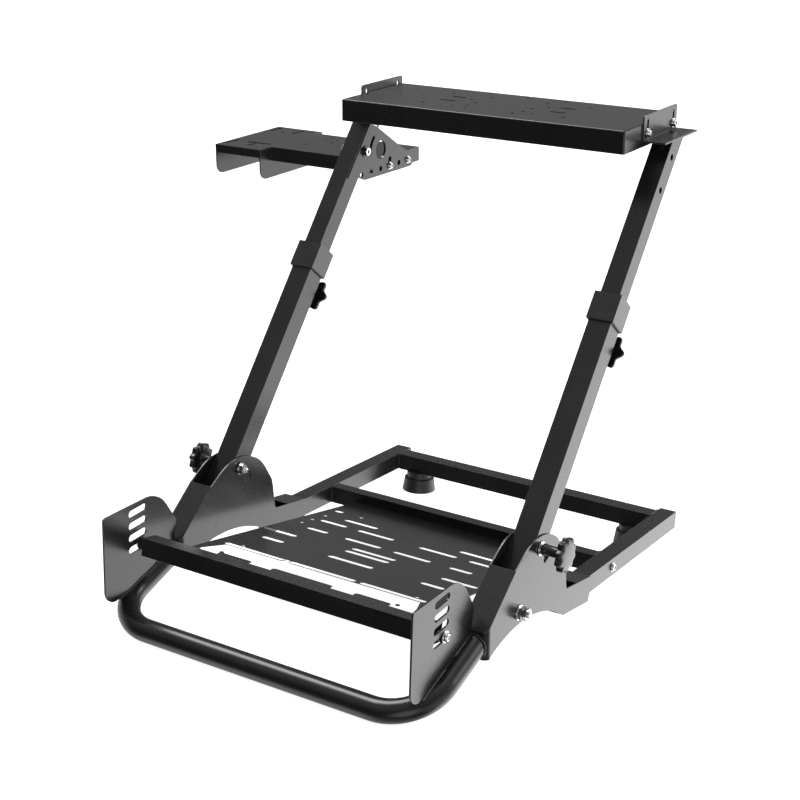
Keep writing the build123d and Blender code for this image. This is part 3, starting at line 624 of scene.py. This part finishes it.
def wing(name, hand):
    """A wing as a sheet that the pedal bar's bolt passes in one of four slots."""
    loops = [rounded(WING_CORNERS)]
    half = (WING_SLOT_BACK - WING_SLOT_FRONT) / 2
    for order in range(WING_SLOTS):
        middle = Vector(((WING_SLOT_FRONT + WING_SLOT_BACK) / 2, WING_SLOT_HEIGHT + order * WING_SLOT_PITCH))
        turned = []
        for along, across in oval(0, 0, half, WING_SLOT_WIDTH / 2):
            spot = Vector((along, across))
            spot.rotate(Matrix.Rotation(WING_SLOT_TILT, 2))
            turned.append(tuple(middle + spot))
        loops.append(turned)
    centre = floor_plan @ Vector((hand * (WING_INSIDE + WING_OUTSIDE) / 2, 0, 0))
    place = Matrix.Translation(centre) @ Matrix(((0, 0, 1, 0), (1, 0, 0, 0), (0, 1, 0, 0), (0, 0, 0, 1)))
    mesh = sheet(place, loops, WING_OUTSIDE - WING_INSIDE)
    piece(f"{name}_wing_sheet", mesh, "base", coat, [f"{name}_wing"], WING_ROUNDING)


for name, hand in SIDES:
    wing(name, hand)


# Fasteners: a washer is (hole radius, radius, thickness), a nut (width across flats, depth), a head (radius, depth)

FLANGE_WASHER = (0.0032, 0.0075, 0.0014)
FLANGE_HEAD = (0.0055, 0.0042)
PIVOT_END = ((0.0066, -0.0003), (0.0066, 0.0001), (0.0065, 0.0002), (0, 0.0002))
PIVOT_WASHER = (0.005, 0.011, 0.0018)
PIVOT_NUT = (0.017, 0.0072)
PIVOT_LOCK_NUT = (0.0165, 0.0050)
PIVOT_LOCK_START = 0.0094
PIVOT_NUT_HOLE = 0.0049
PIVOT_THREAD = (0.0048, 0.005, 0.018)
PEDAL_WASHER = (0.004, 0.0085, 0.0014)
PEDAL_HEAD = (0.0065, 0.0050)
PEDAL_SPACER = (0.004, 0.0085, 0.0018)
PEDAL_NUT_WIDTH = 0.013
PEDAL_NUT_START = 0.0002
PEDAL_NUT_PLAY = 0.0022
LEAN_PLAY = 0.0004
LEAN_INNER_WASHER = (0.004, 0.0095, 0.0016)
LEAN_NUT = (0.013, 0.0062)
LEAN_NUT_START = 0.002
LEAN_THREAD_RADIUS = 0.0039
LEAN_LARGE_WASHER = (0.004, 0.0105, 0.0014)
LEAN_SMALL_WASHER = (0.004, 0.0085, 0.0016)
LEAN_SMALL_START = 0.0019
TUBE_BOLT_WASHER = (0.004, 0.0095, 0.0016)
TUBE_BOLT_HEAD = (0.012, 0.0050)
TUBE_BOLT_SOCKET = 0.0028
TUBE_NUT_WASHER = (0.0035, 0.0085, 0.0014)
TUBE_NUT = (0.013, 0.0060)
TUBE_THREAD = (0.0039, 0.002, 0.0105)
UPPER_BOLT_WASHER = (0.003, 0.0085, 0.0012)
UPPER_BOLT_HEAD = (0.0058, 0.0042)
ARM_BOLT_WASHER = (0.003, 0.0064, 0.0010)
ARM_BOLT_HEAD = (0.0054, 0.0036)
ARM_NUT_WASHER = (0.003, 0.0080, 0.0013)
ARM_NUT = (0.011, 0.0050)
ARM_THREAD = (0.0029, 0.002, 0.0085)
RAIL_WASHER = (0.003, 0.0072, 0.0010)
RAIL_HEAD = (0.0060, 0.0034)
RAIL_SCREW_Y = 0.319

# Knobs: stems are (radius, height), grips (radius, height, depth of the hollows between the lobes)
LEAN_STEM = ((0.004, 0.0), (0.0078, 0.0), (0.0084, 0.0006), (0.0084, 0.004), (0.0076, 0.005))
LEAN_STEM_START = 0.004
LEAN_NECK = ((0.0076, -0.004), (0.0088, -0.001), (0.0105, 0.001), (0.0105, 0.002))
LEAN_GRIP = (
    (0.0100, 0.0005, 0), (0.0215, 0.0, 0.0030), (0.0238, 0.0006, 0.0036), (0.0247, 0.0016, 0.0038),
    (0.0250, 0.0030, 0.0038), (0.0250, 0.00792, 0.0038), (0.0246, 0.0090, 0.0037), (0.0238, 0.00984, 0.0034),
    (0.0224, 0.01056, 0.0028), (0.0180, 0.01128, 0.0004), (0.0130, 0.0117, 0), (0.00625, 0.0119, 0),
    (0.0015, 0.0120, 0),
)
LEAN_LOBES = 10
LEAN_GRIP_STEPS = 168
LEAN_SMOOTH_ANGLE = 50
STEM_STEPS = 48
HEIGHT_STEM = ((0.0042, 0.0180), (0.0078, 0.0180), (0.0085, 0.0187), (0.0080, 0.0348))
HEIGHT_GRIP = (
    (0.0070, 0.0348, 0), (0.0266, 0.0348, 0.0062), (0.0272, 0.0314, 0.0062), (0.02792, 0.0310, 0.0062),
    (0.0287, 0.0313, 0.0062), (0.0290, 0.0320, 0.0062), (0.0290, 0.0352, 0.0062), (0.0284, 0.0365, 0.0062),
    (0.0270, 0.0370, 0.00558), (0.0120, 0.0370, 0), (0.0110, 0.0364, 0), (0.0010, 0.0364, 0),
)
HEIGHT_LOBES = 7
HEIGHT_GRIP_STEPS = 210
HEIGHT_SHARPNESS = 1.15
HEIGHT_SMOOTH_ANGLE = 45
RIB_START = 0.0075
RIB_REACHES = (0.0272, 0.0210)
RIB_HALF = 0.0006
RIB_HEIGHTS = (0.0322, 0.0350)


def flange_bolts(name, hand):
    """Bolts that hold the wheel plate in its side brackets."""
    mesh = bmesh.new()
    for back in FLANGE_BOLTS_BACK:
        place = facing(head, (hand * (PLATE_HALF + SHEET), back, -FLANGE_BOLT_DROP), (hand, 0, 0))
        washer(mesh, place, FLANGE_WASHER)
        pan_head(mesh, place, FLANGE_HEAD, FLANGE_WASHER[2])
    piece(f"{name}_flange_bolts", mesh, "head", zinc)


def pivot_bolt(name, hand):
    """Pivot bolt: flush and coated inside the bracket, a washer and two nuts outside."""
    mesh = bmesh.new()
    inside = facing(uprights, (hand * (UPRIGHT_X - BRACKET_HALF), 0, 0), (-hand, 0, 0))
    lathe(mesh, inside, PIVOT_END, STEM_STEPS)
    piece(f"{name}_pivot_bolt_end", mesh, "base", coat, [f"{name}_pivot_bolt"])
    mesh = bmesh.new()
    outside = facing(uprights, (hand * (UPRIGHT_X + BRACKET_HALF), 0, 0), (hand, 0, 0))
    washer(mesh, outside, PIVOT_WASHER)
    hex_form(mesh, outside, PIVOT_NUT, PIVOT_WASHER[2], PIVOT_NUT_HOLE)
    hex_form(mesh, outside, PIVOT_LOCK_NUT, PIVOT_LOCK_START, PIVOT_NUT_HOLE)
    thread(mesh, outside, *PIVOT_THREAD)
    piece(f"{name}_pivot_bolt_detail", mesh, "base", zinc, [f"{name}_pivot_bolt"])


def pedal_bolt(name, hand):
    """Bolt that holds the pedal bar in a wing's slot, with a dark spacer between them."""
    mesh = bmesh.new()
    outside = facing(pedals, (hand * WING_OUTSIDE, 0, -PEDAL_BAR_DROP), (hand, 0, 0))
    washer(mesh, outside, PEDAL_WASHER)
    pan_head(mesh, outside, PEDAL_HEAD, PEDAL_WASHER[2])
    piece(f"{name}_pedal_bolt_head", mesh, "base", zinc, [f"{name}_pedal_bolt"])
    mesh = bmesh.new()
    gap = WING_INSIDE - PEDAL_BAR_HALF
    inside = facing(pedals, (hand * PEDAL_BAR_HALF, 0, -PEDAL_BAR_DROP), (hand, 0, 0))
    washer(mesh, inside, PEDAL_SPACER, gap - PEDAL_SPACER[2])
    hex_form(mesh, inside, (PEDAL_NUT_WIDTH, gap - PEDAL_NUT_PLAY), PEDAL_NUT_START)
    piece(f"{name}_pedal_bolt_nut", mesh, "base", plastic, [f"{name}_pedal_bolt"])


def lean_bolt(name, hand):
    """Bolt of the lean knob: its end and nut inside the bracket and washers under the knob."""
    mesh = bmesh.new()
    inside = facing(uprights, (hand * (UPRIGHT_X - BRACKET_HALF), 0, LEAN_BOLT_ALONG), (-hand, 0, 0))
    washer(mesh, inside, LEAN_INNER_WASHER, LEAN_PLAY)
    hex_form(mesh, inside, LEAN_NUT, LEAN_NUT_START, LEAN_THREAD_RADIUS)
    thread(mesh, inside, LEAN_THREAD_RADIUS, -2 * BRACKET_HALF, LEAN_BOLT_TAIL)
    outside = facing(uprights, (hand * (UPRIGHT_X + BRACKET_HALF), 0, LEAN_BOLT_ALONG), (hand, 0, 0))
    washer(mesh, outside, LEAN_LARGE_WASHER, LEAN_PLAY)
    washer(mesh, outside, LEAN_SMALL_WASHER, LEAN_SMALL_START)
    piece(f"{name}_lean_bolt_detail", mesh, "uprights", zinc, [f"{name}_lean_bolt"])


def lean_knob(name, hand):
    """Scalloped grip with a slightly domed face on a waisted stem."""
    mesh = bmesh.new()
    place = facing(uprights, (hand * UPRIGHT_X, 0, LEAN_BOLT_ALONG), (hand, 0, 0))
    start = LEAN_KNOB_START - UPRIGHT_X
    stem = BRACKET_HALF + LEAN_STEM_START
    profile = [(radius, stem + height) for radius, height in LEAN_STEM]
    profile += [(radius, start + height) for radius, height in LEAN_NECK]
    lathe(mesh, place, profile, STEM_STEPS)
    grip = [(radius, start + height, hollow) for radius, height, hollow in LEAN_GRIP]
    lobed(mesh, place, grip, LEAN_LOBES, LEAN_GRIP_STEPS)
    body = f"{name}_lean_knob"
    piece(f"{name}_lean_knob_grip", mesh, body, plastic, [body], 0, LEAN_SMOOTH_ANGLE)


def height_knob(name, hand):
    """Star grip, hollow and ribbed on the side of the tube, with a boss round its screw."""
    mesh = bmesh.new()
    place = facing(uprights, (hand * UPRIGHT_X, 0, HEIGHT_KNOB_ALONG), (0, 1, 0))
    lobed(mesh, place, HEIGHT_GRIP, HEIGHT_LOBES, HEIGHT_GRIP_STEPS, HEIGHT_SHARPNESS)
    lathe(mesh, place, HEIGHT_STEM, STEM_STEPS)
    for step in range(2 * HEIGHT_LOBES):
        rib = place @ Matrix.Rotation(math.pi * step / HEIGHT_LOBES, 4, "Z")
        reach = RIB_REACHES[step % 2]
        outline = [(RIB_START, -RIB_HALF), (reach, -RIB_HALF), (reach, RIB_HALF), (RIB_START, RIB_HALF)]
        prism(mesh, rib, outline, *RIB_HEIGHTS)
    body = f"{name}_height_knob"
    piece(f"{name}_height_knob_grip", mesh, body, plastic, [body], 0, HEIGHT_SMOOTH_ANGLE)


def gusset_bolts():
    """Bolts of the shifter gusset: two at the upright and two in the arm, with nuts behind."""
    mesh = bmesh.new()
    inner_face = UPPER_TUBE_HALF - UPRIGHT_X
    along = TUBE_HOLES[0]
    at_tube = facing(uprights, (inner_face + GUSSET_SHEET, 0, along), (1, 0, 0))
    hex_form(mesh, at_tube, TUBE_BOLT_HEAD, TUBE_BOLT_WASHER[2], TUBE_BOLT_SOCKET)
    behind_tube = facing(uprights, (-UPRIGHT_X - UPPER_TUBE_HALF, 0, along), (-1, 0, 0))
    washer(mesh, behind_tube, TUBE_NUT_WASHER)
    hex_form(mesh, behind_tube, TUBE_NUT, TUBE_NUT_WASHER[2], TUBE_THREAD[0])
    thread(mesh, behind_tube, *TUBE_THREAD)
    upper = facing(uprights, (inner_face, 0, TUBE_HOLES[1]), (1, 0, 0))
    washer(mesh, upper, UPPER_BOLT_WASHER)
    pan_head(mesh, upper, UPPER_BOLT_HEAD, UPPER_BOLT_WASHER[2])
    for hole in GUSSET_BOLTED_HOLES:
        back = GUSSET_HOLE_FIRST + hole * GUSSET_HOLE_PITCH
        at_hole = facing(head, (inner_face + GUSSET_SHEET, back, -GUSSET_HOLE_DROP), (1, 0, 0))
        washer(mesh, at_hole, ARM_BOLT_WASHER)
        pan_head(mesh, at_hole, ARM_BOLT_HEAD, ARM_BOLT_WASHER[2])
        behind = facing(head, (inner_face - SHEET, back, -GUSSET_HOLE_DROP), (-1, 0, 0))
        washer(mesh, behind, ARM_NUT_WASHER)
        hex_form(mesh, behind, ARM_NUT, ARM_NUT_WASHER[2], ARM_THREAD[0])
        thread(mesh, behind, *ARM_THREAD)
    piece("gusset_bolts", mesh, "head", zinc)
    mesh = bmesh.new()
    washer(mesh, at_tube, TUBE_BOLT_WASHER)
    piece("gusset_bolt_washer", mesh, "head", plastic)


def rail_screw(name, hand):
    """Screw in the outer face of a rail, beside the mid crossbar."""
    mesh = bmesh.new()
    place = facing(floor_plan, (hand * (UPRIGHT_X + RAIL_HALF), RAIL_SCREW_Y, RAIL_MIDDLE), (hand, 0, 0))
    washer(mesh, place, RAIL_WASHER)
    pan_head(mesh, place, RAIL_HEAD, RAIL_WASHER[2])
    piece(f"{name}_rail_screw", mesh, "base", zinc)


for name, hand in SIDES:
    flange_bolts(name, hand)
    pivot_bolt(name, hand)
    pedal_bolt(name, hand)
    lean_bolt(name, hand)
    lean_knob(name, hand)
    height_knob(name, hand)
    rail_screw(name, hand)
gusset_bolts()


# Folds of the sheets, and weld beads

FOLD_RADIUS = 0.00805
FOLD_SHEET = 0.0019
FOLD_STEPS = 12
FOLD_START = 0.0003
FOLD_PROUD = 0.00005
FOLD_LOW = (-0.0832, 0.0531)
FOLD_HIGH = (-0.0863, 0.0950)
SHELF_FOLD = (0.062, 0.176)
SHELF_FOLD_RADIUS = 0.0011
SHELF_FOLD_SIDES = 12
SHELF_TOP = -0.0233
SHELF_UNDERSIDE = -0.0258
BEAD_RADIUS = 0.0017
SMALL_BEAD_RADIUS = 0.0016
RING_BEAD_STEPS = 40
RING_BEAD_GAP = 0.0006
RING_BEAD_STRETCH = 1.05
RING_BEAD_SLOPE = 0.0738
RING_BEAD_FORWARD = 0.0008
WING_BEADS = (((-0.205, 0.0412), (-0.150, 0.0627)), ((-0.128, 0.0712), (-0.088, 0.0870)))
CROSSBAR_BEADS = ((0.312, 0.332), (0.524, 0.552))
CROSSBAR_BEAD_GAP = 0.0003
HEAD_BEAD_GAP = 0.0004
RING_BEAD_SEED = 3
WING_BEAD_SEED = 5
CROSSBAR_BEAD_SEED = 7
HEAD_BEAD_SEED = 11


def bracket_folds(name, hand):
    """Rounded strips along the two upright folds of a bracket's front."""
    mesh = bmesh.new()
    low = floor_plan @ Vector((hand * UPRIGHT_X, *FOLD_LOW))
    high = floor_plan @ Vector((hand * UPRIGHT_X, *FOLD_HIGH))
    place = basis(low, X, high - low)
    for side in (-1, 1):
        middle = side * (BRACKET_HALF - FOLD_RADIUS + FOLD_PROUD)
        steps = range(FOLD_STEPS + 1)
        outline = []
        for radius, order in ((FOLD_RADIUS, steps), (FOLD_RADIUS - FOLD_SHEET, reversed(steps))):
            for step in order:
                turn = math.pi / 2 * step / FOLD_STEPS
                outline.append((middle + side * radius * math.sin(turn), FOLD_RADIUS - radius * math.cos(turn)))
        prism(mesh, place, outline, FOLD_START, (high - low).length)
    piece(f"{name}_bracket_folds", mesh, "base", coat)


for name, hand in SIDES:
    bracket_folds(name, hand)


def base_welds(name, hand):
    """Beads of a front tube's end, a wing and the crossbars' ends."""
    mesh = bmesh.new()
    reach = FRONT_TUBE_RADIUS + RING_BEAD_GAP
    ring = []
    for step in range(RING_BEAD_STEPS + 1):
        turn = 2 * math.pi * step / RING_BEAD_STEPS
        x = hand * (UPRIGHT_X + reach * math.cos(turn))
        rise = RING_BEAD_STRETCH * reach * math.sin(turn)
        y = TUBE_RING_Y - RING_BEAD_SLOPE * rise - RING_BEAD_FORWARD
        ring.append(floor_plan @ Vector((x, y, TUBE_RING_Z + rise)))
    bead(mesh, ring, BEAD_RADIUS, RING_BEAD_SEED)
    for ends in WING_BEADS:
        for x in (WING_INSIDE, WING_OUTSIDE):
            line = [floor_plan @ Vector((hand * x, y, z)) for y, z in ends]
            bead(mesh, line, SMALL_BEAD_RADIUS, WING_BEAD_SEED)
    inner = hand * (UPRIGHT_X - RAIL_HALF - CROSSBAR_BEAD_GAP)
    top = RAIL_MIDDLE + RAIL_HALF
    bottom = RAIL_MIDDLE - RAIL_HALF
    for front, rear in CROSSBAR_BEADS:
        corners = ((front, bottom), (front, top), (rear, top), (rear, bottom))
        line = [floor_plan @ Vector((inner, y, z)) for y, z in corners]
        bead(mesh, line, SMALL_BEAD_RADIUS, CROSSBAR_BEAD_SEED)
    piece(f"{name}_base_welds", mesh, "base", coat)


def head_welds(name, hand):
    """Bead round the top of an upright, under its head bracket's shelf."""
    mesh = bmesh.new()
    half = UPPER_TUBE_HALF + HEAD_BEAD_GAP
    normal = head.to_3x3() @ Z
    shelf = head @ Vector((0, 0, SHELF_UNDERSIDE))
    corners = []
    for x, depth in ((-half, -half), (half, -half), (half, half), (-half, half), (-half, -half)):
        low = uprights @ Vector((hand * UPRIGHT_X + x, depth, 0))
        along = (shelf - low).dot(normal) / tube_axis.dot(normal)
        corners.append(low + tube_axis * along)
    bead(mesh, corners, BEAD_RADIUS, HEAD_BEAD_SEED)
    piece(f"{name}_head_welds", mesh, "head", coat)


def shelf_fold(name, hand):
    """Rounded inner corner between a head bracket's side plate and its shelf."""
    mesh = bmesh.new()
    front, rear = SHELF_FOLD
    place = facing(head, (hand * (PLATE_HALF + SHEET), front, SHELF_TOP), (0, 1, 0))
    prism(mesh, place, regular(SHELF_FOLD_SIDES, SHELF_FOLD_RADIUS), 0, rear - front)
    piece(f"{name}_shelf_fold", mesh, "head", coat)


for name, hand in SIDES:
    base_welds(name, hand)
    head_welds(name, hand)
    shelf_fold(name, hand)


# Studio

# The surroundings' lights: direction, brightness, and the cosines where each starts and is full
DIM_LIGHT = 0.016
SURROUNDINGS = (
    ((0, 1, 0), 0.27, -0.4, 0.6),
    ((0.50, 0.72, -0.48), 3.6, 0.76, 0.99),
    ((0, -0.25, 0.97), 0.72, 0.35, 0.90),
    ((-0.30, 0, -0.95), 0.80, 0.45, 0.90),
    ((0.56, -0.81, -0.15), 2.4, 0.88, 0.98),
    ((-0.50, 0.16, 0.85), 14.0, 0.955, 0.995),
    ((0.63, 0.66, 0.40), 8.0, 0.94, 0.99),
    ((-0.50, -0.43, -0.75), 1.3, 0.93, 0.99),
    ((1, 0, -0.15), 1.1, 0.82, 0.98),
    ((-1, 0, -0.15), 1.1, 0.82, 0.98),
)


SEEN_BRIGHTNESS = 1.02
FLOOR_SIZE = 30
FLOOR_COLOURS = ((0.46, 0.46, 0.46), (0.48, 0.48, 0.48))
FLOOR_ROUGHNESS = 0.9
FLOOR_SPECULAR = 0.1
FLOOR_GLOW = 0.93
TOP_LIGHT_PLACE = (-0.3, 0.9, 3.4)
TOP_LIGHT_TARGET = (0, 0, 0.2)
TOP_LIGHT_SIZE = 3.0
TOP_LIGHT_POWER = 25


def floor():
    """A wide pale floor that the stand neither reflects nor is lit by."""
    mesh = bmesh.new()
    bmesh.ops.create_grid(mesh, x_segments=2, y_segments=2, size=FLOOR_SIZE)
    data = bpy.data.meshes.new("floor")
    mesh.to_mesh(data)
    mesh.free()
    made = bpy.data.objects.new("floor", data)
    bpy.context.scene.collection.objects.link(made)
    material, nodes, links, shader, place = shader_nodes("pale_floor")
    cloud = spread(nodes, links, noise(nodes, links, place, 3, 2), 0.0, 1.0)
    links.new(tint(nodes, links, cloud, *FLOOR_COLOURS), shader.inputs["Base Color"])
    shader.inputs["Roughness"].default_value = FLOOR_ROUGHNESS
    shader.inputs["Specular IOR Level"].default_value = FLOOR_SPECULAR
    shader.inputs["Emission Color"].default_value = (1, 1, 1, 1)
    shader.inputs["Emission Strength"].default_value = FLOOR_GLOW
    data.materials.append(material)
    made.visible_diffuse = False
    made.visible_glossy = False
    made.visible_shadow = False


def top_light():
    """A square area light overhead."""
    light = bpy.data.lights.new("top_light", "AREA")
    light.shape = "RECTANGLE"
    light.size = TOP_LIGHT_SIZE
    light.size_y = TOP_LIGHT_SIZE
    light.energy = TOP_LIGHT_POWER
    made = bpy.data.objects.new("top_light", light)
    bpy.context.scene.collection.objects.link(made)
    made.location = TOP_LIGHT_PLACE
    toward = Vector(TOP_LIGHT_TARGET) - Vector(TOP_LIGHT_PLACE)
    made.rotation_euler = toward.to_track_quat("-Z", "Y").to_euler()


def studio():
    """Soft lights all round from the surroundings, which the camera itself sees as plain white."""
    world = bpy.data.worlds.new("studio")
    bpy.context.scene.world = world
    world.use_nodes = True
    nodes = world.node_tree.nodes
    links = world.node_tree.links
    direction = nodes.new("ShaderNodeTexCoord")
    total = None
    for toward, brightness, start, full in SURROUNDINGS:
        along = nodes.new("ShaderNodeVectorMath")
        along.operation = "DOT_PRODUCT"
        along.inputs[1].default_value = Vector(toward).normalized()
        links.new(direction.outputs["Generated"], along.inputs[0])
        glow = spread(nodes, links, along.outputs["Value"], 0.0, brightness, start, full)
        both = nodes.new("ShaderNodeMath")
        both.operation = "ADD"
        both.inputs[1].default_value = DIM_LIGHT
        links.new(glow, both.inputs[0])
        if total:
            links.new(total, both.inputs[1])
        total = both.outputs["Value"]
    path = nodes.new("ShaderNodeLightPath")
    seen = nodes.new("ShaderNodeMix")
    seen.inputs["B"].default_value = SEEN_BRIGHTNESS
    links.new(path.outputs["Is Camera Ray"], seen.inputs["Factor"])
    links.new(total, seen.inputs["A"])
    nodes["Background"].inputs["Color"].default_value = (1, 1, 1, 1)
    links.new(seen.outputs["Result"], nodes["Background"].inputs["Strength"])
    top_light()
    view = bpy.context.scene.view_settings
    view.view_transform = "Standard"


CAMERA_PLACE = (1.2548, -1.9035, 0.9852)
CAMERA_FORWARD = (-0.49901, 0.81434, -0.29636)
CAMERA_UP = (-0.18986, 0.23094, 0.95426)
FOCAL_PIXELS = 1571.0
PHOTO_WIDTH = 800.0
SENSOR_WIDTH = 36.0


def camera():
    """The photograph's view."""
    data = bpy.data.cameras.new("camera")
    data.sensor_width = SENSOR_WIDTH
    data.lens = FOCAL_PIXELS / PHOTO_WIDTH * SENSOR_WIDTH
    made = bpy.data.objects.new("camera", data)
    bpy.context.scene.collection.objects.link(made)
    back = -Vector(CAMERA_FORWARD).normalized()
    right = Vector(CAMERA_UP).cross(back).normalized()
    turn = Matrix((right, back.cross(right), back)).transposed()
    made.matrix_world = Matrix.Translation(CAMERA_PLACE) @ turn.to_4x4()
    bpy.context.scene.camera = made


floor()
studio()
camera()
